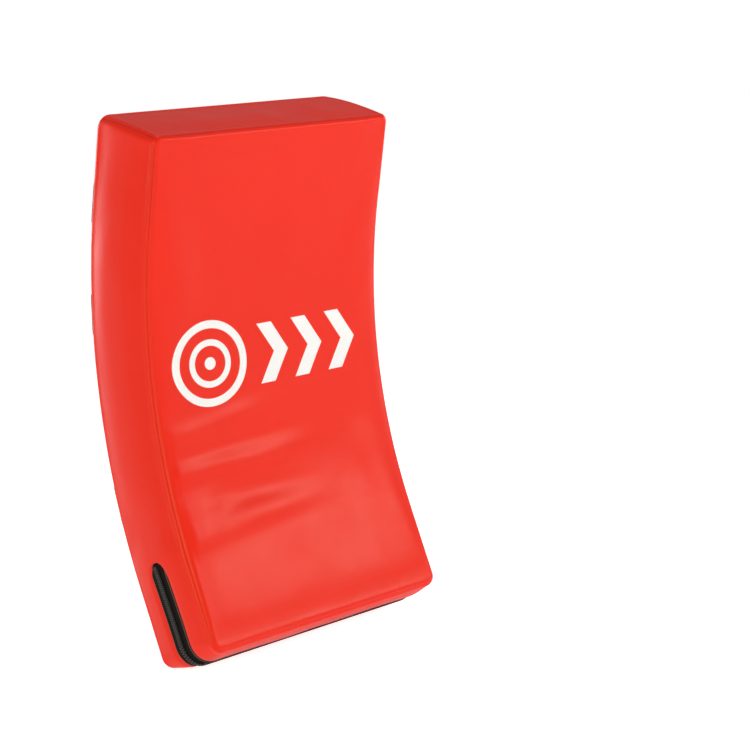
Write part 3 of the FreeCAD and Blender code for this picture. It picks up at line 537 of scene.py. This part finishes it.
def panel(name, off_at, side, material, slot, nodes, extra=None):
    """Front or back panel, turned in along its seams."""
    radii = CORNERS[0] if side < 0 else CORNERS[2]
    coarse_x, coarse_s = np.linspace(-HALF_W, HALF_W, 60), np.linspace(-HALF_L, HALF_L, 107)
    grid_s, grid_x = np.meshgrid(coarse_s, coarse_x, indexing="ij")
    round_x, round_s = round_corners(grid_x, grid_s, radii)
    base = at(round_x, round_s, off_at(grid_x, grid_s))
    rim = np.zeros(base.shape[:2], bool)
    rim[[0, -1], :] = rim[:, [0, -1]] = True
    field = settle(f"{name}_cloth", base[:, ::side], rim, PANEL_CAP, SWELL)[:, ::side]

    xs, ss = graded(HALF_W), graded(HALF_L)
    flat_s, flat_x = np.meshgrid(ss, xs, indexing="ij")
    x, s = round_corners(flat_x, flat_s, radii)
    off = off_at(flat_x, flat_s)
    distance = np.maximum(edge_distance(x, s, radii), 0)
    points = at(x, s, off)
    pucker = ripple(points, 95.0, 2) * np.exp(-distance / 0.012) * 0.0005 * ease(distance, 0, 0.006)
    swollen = ripple(points, 14.0, 4) * 0.0010 * ease(distance, 0, 0.04)
    free = 1 - 0.9 * under_webbing(flat_s) if side > 0 else np.ones_like(flat_s)
    off = off + side * (seam_shape(distance) + pucker + swollen) * free
    if extra:
        off = off + side * extra(flat_x, flat_s)
    points = at(x, s, off) + sample(field, coarse_s, coarse_x, flat_s, flat_x) * free[..., None]
    uv = np.stack([x, s], -1)

    for inward, deep in TURNED_IN:
        x = np.pad(x, 1, mode="edge")
        s = np.pad(s, 1, mode="edge")
        points = np.pad(points, ((1, 1), (1, 1), (0, 0)), mode="edge")
        uv = np.pad(uv, ((1, 1), (1, 1), (0, 0)), mode="edge")
        distance = np.pad(distance, 1, mode="edge")
        scale_x, scale_s = 1 - inward / HALF_W, 1 - inward / HALF_L
        tucked = at(x * scale_x, s * scale_s, side * (HALF_T - deep))
        for ring in (np.s_[0], np.s_[-1], np.s_[:, 0], np.s_[:, -1]):
            points[ring] = tucked[ring]
    rows, cols = points.shape[:2]
    # The distance to the seam is stored as the edge attribute; the leather paints shade in the seam grooves
    # from it.
    piece = mesh_object(name, points.reshape(-1, 3), grid_faces(rows, cols, flip=side < 0), uv.reshape(-1, 2),
                        {"edge": distance})
    tidy(piece)
    finish_piece(piece, material, "pad", slot, *nodes)


# ---------------------------------------------------------------- side strips

def outline(radius_top, radius_bottom, step=0.0045):
    """Round the panel's outline from the top left corner, down, across and up to the top right corner,
    then back across the top: rows of (x, s, normal x, normal s). Every outline has as many points."""
    lower, upper = [], []

    def arc(store, centre_x, centre_s, radius, start, stop):
        for angle in np.radians(np.linspace(start, stop, int(abs(stop - start) / 6))):
            store.append((centre_x + radius * math.cos(angle), centre_s + radius * math.sin(angle),
                          math.cos(angle), math.sin(angle)))

    def run(store, first, last, normal, whole):
        for part in np.linspace(0, 1, int(whole / step))[1:-1]:
            x = first[0] + (last[0] - first[0]) * part
            s = first[1] + (last[1] - first[1]) * part
            store.append((x, s, *normal))

    def leg(store, x, first_s, last_s):
        """Up or down one side, with more points round the zip's end."""
        levels = np.linspace(first_s, last_s, int(2 * HALF_L / step))[1:-1]
        levels = np.concatenate([levels, ZIP_TOP + np.arange(-0.030, 0.004, 0.0012)])
        for s in sorted(levels, reverse=first_s > last_s):
            store.append((x, s, math.copysign(1, x), 0))

    rt, rb = radius_top, radius_bottom
    arc(lower, -HALF_W + rt, HALF_L - rt, rt, 135, 180)
    leg(lower, -HALF_W, HALF_L - rt, -HALF_L + rb)
    arc(lower, -HALF_W + rb, -HALF_L + rb, rb, 180, 270)
    run(lower, (-HALF_W + rb, -HALF_L), (HALF_W - rb, -HALF_L), (0, -1), 2 * HALF_W)
    arc(lower, HALF_W - rb, -HALF_L + rb, rb, 270, 360)
    leg(lower, HALF_W, -HALF_L + rb, HALF_L - rt)
    arc(lower, HALF_W - rt, HALF_L - rt, rt, 0, 45)
    arc(upper, HALF_W - rt, HALF_L - rt, rt, 45, 90)
    run(upper, (HALF_W - rt, HALF_L), (-HALF_W + rt, HALF_L), (0, 1), 2 * HALF_W)
    arc(upper, -HALF_W + rt, HALF_L - rt, rt, 90, 135)
    return np.array(lower), np.array(upper)


def rims():
    """The strips' outlines at the front seam, midway and at the back seam: the U and the top."""
    pairs = [outline(*radii) for radii in CORNERS]
    return np.stack([pair[0] for pair in pairs]), np.stack([pair[1] for pair in pairs])


def puff(x, s, normal_x, normal_s):
    """How far the strips swell out midway between their seams."""
    left = 0.0100 - 0.0045 * ease(s, 0.16, 0.31) - 0.0045 * (1 - ease(s, -0.30, -0.12))
    side = np.where(x < 0, left, 0.0100)
    end = np.where(s < 0, 0.0095, 0.0042)
    return side * normal_x ** 2 + end * normal_s ** 2


def strip_point(rim, v, lift=0.0):
    """Point on the strips: v runs from -1 at the front seam to 1 at the back seam."""
    front, soft, back = rim
    weight = (np.abs(v) ** 3)[..., None]
    place = soft + (np.where(v[..., None] < 0, front, back) - soft) * weight
    x, s, normal_x, normal_s = np.moveaxis(place, -1, 0)
    size = np.hypot(normal_x, normal_s)
    normal_x, normal_s = normal_x / size, normal_s / size
    out = puff(x, s, normal_x, normal_s) * (1 - np.abs(v) ** 2.3) ** 0.8 + lift
    return at(x + normal_x * out, s + normal_s * out, v * HALF_T)


def zip_reach(rim):
    """Half width of the zip's opening at each place round the rim, 0 where there is none."""
    below = np.clip(ZIP_TOP - rim[1, :, 1], 0, 0.024) / 0.024
    return 0.0148 * np.sqrt(1 - (1 - below) ** 2)


def band_rows():
    """Places across a strip, from front seam to back seam, as distances behind the middle."""
    return graded(HALF_T, coarse=0.0035)


def strip_surface(name, rim, material, slot, nodes, opening=False):
    """Strip all along a stretch of rim. With `opening`, it is parted where the zip runs."""
    count = rim.shape[1]
    places = band_rows()
    columns = rim[:, None]
    offs = np.broadcast_to(places[:, None], (len(places), count))
    v = offs / HALF_T
    coarse = np.linspace(-HALF_T, HALF_T, 24)
    coarse_v = np.broadcast_to((coarse / HALF_T)[:, None], (len(coarse), count))
    base = strip_point(columns, coarse_v)
    hem = np.zeros(base.shape[:2], bool)
    hem[[0, -1], :] = hem[:, [0, -1]] = True
    reach = zip_reach(rim) if opening else np.zeros(count)
    hem |= (np.abs(coarse[:, None]) < reach + 0.003) & (reach > 0)
    field = settle(f"{name}_cloth", base, hem, STRIP_CAP, SWELL)
    if opening:
        field = field * ease(rim[1, :, 1], ZIP_TOP, ZIP_TOP + 0.035)[None, :, None]
    distance = HALF_T - np.abs(offs)
    flat = strip_point(columns, v)
    pucker = ripple(flat, 95.0, 6) * np.exp(-distance / 0.010) * 0.0004 * ease(distance, 0, 0.006)
    swollen = ripple(flat, 18.0, 8) * 0.0009 * ease(distance, 0, 0.03)
    lengths = rim_lengths(rim)
    from_end = np.minimum(lengths, lengths[-1] - lengths)[None, :]
    groove = seam_shape(from_end) * ease(distance, 0, 0.01)
    points = strip_point(columns, v, seam_shape(distance) + pucker + swollen + groove)
    column_at = np.broadcast_to(np.arange(count)[None, :], offs.shape)
    points = points + sample(field, coarse, np.arange(count), offs, column_at)
    if opening:
        points, shut = part_at_zip(points, strip_point(columns, v, -0.0016), places, reach)
    # Distance to the nearest seam, stored as the edge attribute; the leather paints shade in the seam grooves
    # from it.
    edge = np.minimum(distance, from_end)
    uv = np.stack([np.broadcast_to(lengths, offs.shape), offs], -1)
    for deep in (0.0016, 0.0050):
        for row, v_edge in ((0, -1.0), (-1, 1.0)):
            tuck = strip_point(columns, np.full((1, count), v_edge), -deep)
            points = np.concatenate([tuck, points] if row == 0 else [points, tuck])
            uv = np.concatenate([uv[:1], uv] if row == 0 else [uv, uv[-1:]])
            edge = np.concatenate([edge[:1], edge] if row == 0 else [edge, edge[-1:]])
    faces = grid_faces(len(points), count)
    if opening:
        shut = np.pad(shut, ((2, 2), (0, 0)), constant_values=True).ravel()
        faces = [face for face, kept in zip(faces, shut) if kept]
    piece = mesh_object(name, points.reshape(-1, 3), faces, uv.reshape(-1, 2), {"edge": edge})
    tidy(piece)
    outward_from_axis(piece)
    finish_piece(piece, material, "pad", slot, *nodes)


def part_at_zip(points, sunk, places, reach):
    """Bring the rows inside the zip's opening onto its edge, turned down to the tape. Also gives which
    faces stay."""
    points = points.copy()
    inside = np.abs(places)[:, None] < reach[None, :] + 0.0020
    for row, column in zip(*np.nonzero(inside & (reach > 0))):
        target = np.interp(math.copysign(reach[column], places[row]), places, np.arange(len(places)))
        low = min(int(target), len(places) - 2)
        part = target - low
        points[row, column] = sunk[low, column] * (1 - part) + sunk[low + 1, column] * part
    inside &= reach > 0
    gone = inside[:-1, :-1] & inside[1:, :-1] & inside[:-1, 1:] & inside[1:, 1:]
    return points, ~gone


def outward_from_axis(piece):
    """Turn every face away from the pad's middle surface."""
    centre = Vector((0, ORIGIN_Y, ORIGIN_Z))
    work = bmesh.new()
    work.from_mesh(piece.data)
    bmesh.ops.recalc_face_normals(work, faces=work.faces)
    facing = sum((face.calc_center_median() - centre).dot(face.normal) * face.calc_area()
                 for face in work.faces)
    if facing < 0:
        bmesh.ops.reverse_faces(work, faces=work.faces)
    work.to_mesh(piece.data)
    work.free()


# ---------------------------------------------------------------- zip

def rim_lengths(rim):
    """Length along the rim's middle line at each of its places."""
    steps = np.hypot(np.diff(rim[1, :, 0]), np.diff(rim[1, :, 1]))
    return np.concatenate([[0], np.cumsum(steps)])


def rim_places(rim, lengths, wanted):
    """The rim read at the wanted lengths along it."""
    return np.stack([np.stack([np.interp(wanted, lengths, line[:, axis]) for axis in range(4)], -1)
                     for line in rim])


def zip_line(step=0.0015):
    """Rim along the zip, up both legs and across the bottom, in even steps, with lengths."""
    lower, _ = rims()
    rim = lower[:, lower[1, :, 1] < ZIP_TOP + 0.002]
    lengths = rim_lengths(rim)
    wanted = np.arange(0, lengths[-1], step)
    return rim_places(rim, lengths, wanted), wanted


def make_zip():
    rim, lengths = zip_line()
    columns = rim[:, None]
    reach = zip_reach(rim)
    for name, sign in (("front", -1), ("rear", 1)):
        offs = 0.0012 + np.minimum(0.0188, reach + 0.0023) * np.linspace(0, 1, 44)[:, None]
        ribs = 0.00045 * (np.abs(np.sin(math.pi * (offs - 0.004) / 0.0034)) - 0.5) * (offs > 0.0045)
        ribs += 0.0007 * np.exp(-((offs - 0.0132) / 0.0007) ** 2)
        v = sign * offs / HALF_T
        lift = ribs - 0.0014 - 0.0032 * ease(offs - reach, -0.001, 0.003)
        points = strip_point(columns, v, lift)
        uv = np.stack([offs, np.broadcast_to(lengths, v.shape)], -1)
        piece = mesh_object(f"zip_tape_{name}", points.reshape(-1, 3), grid_faces(*v.shape),
                            uv.reshape(-1, 2))
        outward_from_axis(piece)
        finish_piece(piece, TAPE, "pad", "zip_tape", f"zip_tape_{name}")
        teeth(f"zip_teeth_{name}", rim, lengths, sign)


def teeth(name, rim, lengths, sign):
    """One row of moulded teeth along the zip."""
    pitch = 0.0026
    profile = np.array([(0.0042, 0.0007), (0.0042, 0.0016), (0.0012, 0.0019), (-0.0008, 0.0014),
                        (-0.0008, 0.0002), (0.0042, -0.0004)])
    places = np.arange(0.0065, lengths[-1] - 0.0065, pitch) + (pitch / 2 if sign > 0 else 0)
    size = len(profile)
    taper = np.where(profile[:, 0] > 0.002, 1.0, 0.75) * 0.00075
    wanted = places[:, None, None] + np.array([-1, 1])[None, :, None] * taper
    spots = rim_places(rim, lengths, wanted.ravel())
    v = np.broadcast_to(sign * profile[:, 0] / HALF_T, wanted.shape).ravel()
    height = np.broadcast_to(profile[:, 1] - 0.0006, wanted.shape).ravel()
    vertices = strip_point(spots, v, height)
    faces = []
    for start in range(0, len(vertices), 2 * size):
        faces.append([start + k for k in range(size)])
        faces.append([start + size + k for k in range(size)][::-1])
        for k in range(size):
            faces.append([start + k, start + size + k, start + size + (k + 1) % size, start + (k + 1) % size])
    piece = mesh_object(name, vertices, faces)
    outward(piece)
    piece.data.polygons.foreach_set("use_smooth", [False] * len(piece.data.polygons))
    finish_piece(piece, TEETH, "pad", "zip_teeth", "zip_coil_front" if sign < 0 else "zip_coil_rear")


# ---------------------------------------------------------------- webbing on the back

def band_path(s, low_x, high_x):
    """Middle line of webbing lying on the back panel, its outer ends tucked into the side seams."""
    xs = HALF_W * np.sin(np.linspace(-math.pi / 2, math.pi / 2, 260))
    xs = xs[(xs >= low_x - 1e-9) & (xs <= high_x + 1e-9)]
    lying = at(xs, s, web_off(xs, s))
    normal = unit(np.cross(np.gradient(lying, axis=0), along_dir(s)))
    normal *= np.sign(normal[len(normal) // 2, 1])
    lying += normal * (-0.0007 + 0.0018 * ease(HALF_W - np.abs(xs), 0, 0.012))[:, None]
    points = list(lying[::3])
    for x, place in ((low_x, 0), (high_x, len(points))):
        if abs(x) > HALF_W - 0.001:
            points.insert(place, at(math.copysign(HALF_W - 0.0006, x), s, HALF_T - 0.0045))
    return smooth_path(points, 0.0010)


def along_dir(s):
    """Direction up the pad at s."""
    phi = np.clip(s, -ARC_HALF, ARC_HALF) / BEND_RADIUS
    return np.array([0.0, -math.sin(phi), math.cos(phi)])


def make_bands():
    for name, s in (("mid_band", MID_S), ("lower_band", LOWER_S)):
        path = band_path(s, -HALF_W, HALF_W)
        piece = webbing(f"{name}_webbing", path, along_dir(s), WEB_HALF, rib=0.0002, pitch=0.0024)
        finish_piece(piece, BAND_WEB, "pad", "webbing", name)
    for side, sign in (("left", -1), ("right", 1)):
        low, high = sorted((sign * HALF_W, sign * 0.0800))
        path = band_path(HANDLE_S, low, high)
        piece = webbing(f"handle_{side}_tab_webbing", path, along_dir(HANDLE_S), WEB_HALF, rib=0.0002,
                        pitch=0.0024)
        finish_piece(piece, BAND_WEB, "pad", "webbing", f"handle_{side}_tab")


# one stitch: places along it, its thickness there and its height
STITCH = ((-0.00140, 0.35, -0.0002), (-0.0010, 0.85, 0.0002), (0, 1, 0.00032), (0.0010, 0.85, 0.0002),
          (0.00140, 0.35, -0.0002))


def stitches(name, frame_at, lines, body, replaced):
    """Rows of stitches: short raised threads along each line, in a flat frame's metres."""
    vertices, faces = [], []
    for first, last in lines:
        length = math.dist(first, last)
        count = max(1, int(length / 0.0036))
        direction = np.array([last[0] - first[0], last[1] - first[1]]) / length
        across = np.array([-direction[1], direction[0]])
        for number in range(count):
            middle = np.array(first) + direction * length * (number + 0.5) / count
            start = len(vertices)
            for shift, size, height in STITCH:
                for k in range(6):
                    angle = math.tau * k / 6
                    spot = middle + direction * shift + across * math.cos(angle) * 0.00042 * size
                    vertices.append(frame_at(spot[0], spot[1], height + math.sin(angle) * 0.00035 * size))
            for ring in range(4):
                for k in range(6):
                    a, b = start + ring * 6 + k, start + ring * 6 + (k + 1) % 6
                    faces.append([a, b, b + 6, a + 6])
            faces.append([start + k for k in range(6)][::-1])
            faces.append([start + 24 + k for k in range(6)])
    piece = mesh_object(name, vertices, faces)
    outward(piece)
    finish_piece(piece, THREAD, body, "thread", *replaced)


def boxed_cross(middle, half_across, half_up=0.019):
    """Lines of a box and its two diagonals, as pairs of ends."""
    low, high = middle - half_across, middle + half_across
    corners = [(low, -half_up), (high, -half_up), (high, half_up), (low, half_up)]
    lines = [(corners[k], corners[(k + 1) % 4]) for k in range(4)]
    lines += [(corners[0], corners[2]), (corners[1], corners[3])]
    return lines


def on_back(s_middle):
    """Places for stitches on webbing: x across, u up the pad from s_middle, height above it."""
    def spot(x, u, height):
        s = s_middle + u / (1 + BACK_TOP / BEND_RADIUS)
        return at(x, s, web_off(x, s) + 0.0021 + height)
    return spot


def make_stitching():
    for side, sign in (("left", -1), ("right", 1)):
        stitches(f"handle_{side}_stitching", on_back(HANDLE_S), boxed_cross(sign * 0.118, 0.028), "pad",
                 ["handle_stitching"])
        stitches(f"strap_{side}_stitching", on_back(MID_S), boxed_cross(sign * STRAP_X, 0.0215), "pad",
                 ["strap_stitching"])


# ---------------------------------------------------------------- arm loops

def joint(name):
    return next(item for item in frame["joints"] if item["name"] == name)


def make_arm_loops():
    for side, sign in (("left", -1), ("right", 1)):
        x = sign * STRAP_X
        hinge = np.array(joint(f"{side}_loop_swing")["pos_m"])
        tilt = math.radians(2.7)
        bottom = 0.1925
        # the top end goes about 1 mm under the middle band: further in, it cuts into the cover as the
        # loop swings
        lengths = np.array([-0.004, -0.002, 0.0, 0.006, 0.03, 0.08, 0.13, 0.165, bottom])
        bow = np.array([-0.0014, -0.0008, -0.0003, 0, 0.0006, 0.0016, 0.0012, 0.0004, 0.0])
        path = np.stack([np.full_like(lengths, x), hinge[1] + lengths * math.sin(tilt) + bow,
                         hinge[2] - lengths * math.cos(tilt)], -1)
        path = smooth_path(path, 0.0006)
        strap = webbing(f"{side}_arm_strap_webbing", path, (1, 0, 0), WEB_HALF, rib=0.00055, pitch=0.0031)
        finish_piece(strap, STRAP_WEB, f"{side}_arm_loop", "webbing", f"{side}_arm_strap")

        end_y, end_z = path[-1, 1], path[-1, 2]
        leather = at(x, LOWER_S + 0.024, BACK_TOP)
        top_fold = at(x, -0.083, BACK_TOP + 0.0050)
        under = at(x, -0.1015, BACK_TOP + 0.0012)
        nest = at(x, -0.090, BACK_TOP + 0.0012)
        fold = [
            (end_y, end_z + 0.004), (end_y + 0.0002, end_z - 0.001), (end_y - 0.0012, end_z - 0.0058),
            (end_y - 0.0048, end_z - 0.0082), (end_y - 0.0082, end_z - 0.0052),
            (end_y - 0.0096, end_z + 0.004),
            ((end_y + top_fold[1]) / 2 - 0.0015, (end_z + top_fold[2]) / 2 + 0.006),
            (top_fold[1] + 0.0012, top_fold[2] - 0.006), (top_fold[1] - 0.0006, top_fold[2] + 0.0006),
            (top_fold[1] - 0.0032, top_fold[2] - 0.0008), (nest[1], nest[2]), (under[1], under[2]),
            (leather[1] + 0.0011, leather[2] - 0.008),
        ]
        points = np.array([(x, y, z) for y, z in fold])
        points = smooth_path(points, 0.0006)
        shift = np.linspace(0, 1, len(points))
        points[:, 0] -= sign * 0.0035 * ease(shift, 0.25, 0.6)
        piece = webbing(f"{side}_strap_fold_webbing", points, (1, 0, 0), WEB_HALF, rib=0.00055, pitch=0.0031,
                        start=bottom - 0.002)
        piece.data.materials.append(STRAP_WEB)
        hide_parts(f"{side}_strap_tail")
        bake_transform(piece)


# ---------------------------------------------------------------- carry handle

def on_handle(x, up, height):
    """Points by the handle: across, up the pad from its middle line, out from the back's crest."""
    phi = HANDLE_S / BEND_RADIUS
    base = at(x, HANDLE_S, BACK_TOP)
    out = np.array([0, math.cos(phi), math.sin(phi)])
    rise_dir = np.array([0, -math.sin(phi), math.cos(phi)])
    return base + out * np.asarray(height)[..., None] + rise_dir * np.asarray(up)[..., None]


def make_handle():
    middle = 0.0179
    half_length = 0.066
    seam_angle = 1.1
    count, ring = 150, 56
    t = np.linspace(-1, 1, count)
    x = half_length * np.sin(t * math.pi / 2)
    angles = np.linspace(0, math.tau, ring, endpoint=False)
    cap = np.clip(1 - np.abs(x / half_length) ** 14, 0, 1) ** 0.5
    grid_x = np.broadcast_to(x[:, None], (count, ring))
    near_end = np.abs(x / half_length)
    wide = (0.0202 + 0.0038 * ease(near_end, 0.66, 0.97))[:, None]
    deep = (0.0098 - 0.0050 * ease(near_end, 0.72, 1.0))[:, None]
    boxy = 0.72
    up = wide * np.sign(np.cos(angles)) * np.abs(np.cos(angles)) ** boxy
    out = deep * np.sign(np.sin(angles)) * np.abs(np.sin(angles)) ** boxy
    waist = 0.45 + 0.55 * cap
    up = waist[:, None] * up
    out = waist[:, None] * out
    from_seam = np.abs(angles - seam_angle)
    seam = 0.0012 * np.exp(-(np.minimum(from_seam, math.tau - from_seam) / 0.055) ** 2)
    points = on_handle(grid_x, up, middle + out)
    fold = ripple(points * np.array([2.2, 1, 1]), 40.0, 12) * 0.0006 + ripple(points, 120.0, 13) * 0.0003
    radial = unit(points - on_handle(grid_x, np.zeros_like(up), np.full_like(up, middle)) + 1e-9)
    points = points + radial * (fold - seam)[..., None] * cap[:, None, None]
    uv = np.stack([grid_x, np.broadcast_to(angles * 0.02, grid_x.shape)], -1)
    faces = grid_faces(count, ring, wrap=True)
    faces += [list(range(ring)), list(range((count - 1) * ring, count * ring))]
    edge = np.broadcast_to(from_seam * 0.02 + 0.0004, grid_x.shape)
    grip = mesh_object("grip_cover", points.reshape(-1, 3), faces, uv.reshape(-1, 2), {"edge": edge})
    outward(grip)
    finish_piece(grip, GRIP, "carry_handle", "grip_cover", "grip_sleeve", "grip_core", "handle_strap")
    for side, sign in (("left", -1), ("right", 1)):
        control = [(0.0900, 0.0033), (0.0820, 0.0036), (0.0755, 0.0070), (0.0690, 0.0130), (0.0620, 0.0168),
                   (0.0520, 0.0179)]
        path = np.array([on_handle(sign * px, 0.0, h) for px, h in control])
        path = smooth_path(path, 0.0008)
        spread = (np.abs(path[:, 0]) - 0.052) / 0.038
        width = 0.0215 + 0.0022 * ease(spread, 0.1, 0.75)
        piece = webbing(f"handle_{side}_flare_webbing", path, along_dir(HANDLE_S), width, rib=0.0004,
                        pitch=0.0024)
        piece.data.materials.append(BAND_WEB)
        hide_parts("handle_strap")
        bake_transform(piece)


# ---------------------------------------------------------------- set and build

def make_stage():
    scene = bpy.context.scene
    ground = min(0.0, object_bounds()[0][2])
    mesh = bpy.data.meshes.new("floor")
    size = 14.0
    corners = ((-size, -size), (size, -size), (size, size), (-size, size))
    mesh.from_pydata([(x, y, ground) for x, y in corners], [], [(0, 1, 2, 3)])
    floor = bpy.data.objects.new("floor", mesh)
    scene.collection.objects.link(floor)
    material, tree, shader = new_material("floor_paint", (0.88, 0.88, 0.88), 0.9)
    shader.inputs["Emission Color"].default_value = (1, 1, 1, 1)
    seen = tree.nodes.new("ShaderNodeLightPath").outputs["Is Camera Ray"]
    tree.links.new(math_node(tree, "MULTIPLY_ADD", seen, 0.51, 0.35), shader.inputs["Emission Strength"])
    mesh.materials.append(material)

    world = bpy.data.worlds.new("studio")
    scene.world = world
    world.use_nodes = True
    tree = world.node_tree
    background = tree.nodes["Background"]
    background.inputs["Color"].default_value = (1, 1, 1, 1)
    path = tree.nodes.new("ShaderNodeLightPath")
    level = math_node(tree, "MULTIPLY_ADD", path.outputs["Is Camera Ray"], 0.73, 0.27)
    tree.links.new(level, background.inputs["Strength"])

    def light(name, place, target, power, width, height, tint=(1, 1, 1)):
        lamp = bpy.data.lights.new(name, "AREA")
        lamp.shape = "RECTANGLE"
        lamp.color = tint
        lamp.size, lamp.size_y, lamp.energy = width, height, power
        item = bpy.data.objects.new(name, lamp)
        item.location = place
        item.rotation_euler = (Vector(target) - Vector(place)).to_track_quat("-Z", "Y").to_euler()
        scene.collection.objects.link(item)

    centre = (0, 0, 0.33)
    light("key", (0.75, -2.95, 1.25), centre, 14.5, 0.35, 1.1)
    light("side", (-3.2, -0.6, 0.8), centre, 34, 1.4, 1.2, (1, 0.97, 0.45))
    light("glare", (1.95, -2.35, 1.05), centre, 25, 1.2, 0.6, (1, 0.98, 0.82))
    light("back_soft", (-0.4, 3.1, 0.9), centre, 22, 1.2, 1.2)
    light("right_soft", (3.0, 0.6, 0.8), centre, 17, 1.4, 1.2)
    light("above", (0.2, -0.4, 3.2), centre, 17, 1.4, 1.4)

    camera = bpy.data.cameras.new("camera")
    camera.lens = 94.281
    camera.sensor_width = 36.0
    item = bpy.data.objects.new("camera", camera)
    item.location = (-1.50408, -1.84436, 0.59648)
    item.rotation_euler = Euler([math.radians(angle) for angle in (83.0049, 5.9815, -43.4868)], "XYZ")
    scene.collection.objects.link(item)
    scene.camera = item
    scene.view_settings.view_transform = "Standard"


panel("front_cover", front_off, -1, PRINTED, "cover_leather", ["front_panel", "strike_foam"], creases)
panel("back_cover", web_off, 1, LEATHER, "cover_leather", ["back_panel", "back_foam"])
low_rim, top_rim = rims()
strip_surface("side_strip", low_rim, LEATHER, "cover_leather",
              ["left_gusset", "right_gusset", "bottom_front_gusset", "bottom_rear_gusset", "core_foam"],
              opening=True)
strip_surface("top_strip", top_rim, LEATHER, "cover_leather", ["top_gusset"])
make_zip()
make_bands()
make_stitching()
make_arm_loops()
make_handle()
for name in ("zip_slider", "zip_pull", "zip_stops"):
    item = frame["nodes"][name]
    item.data.materials.clear()
    item.data.materials.append(METAL)
make_stage()
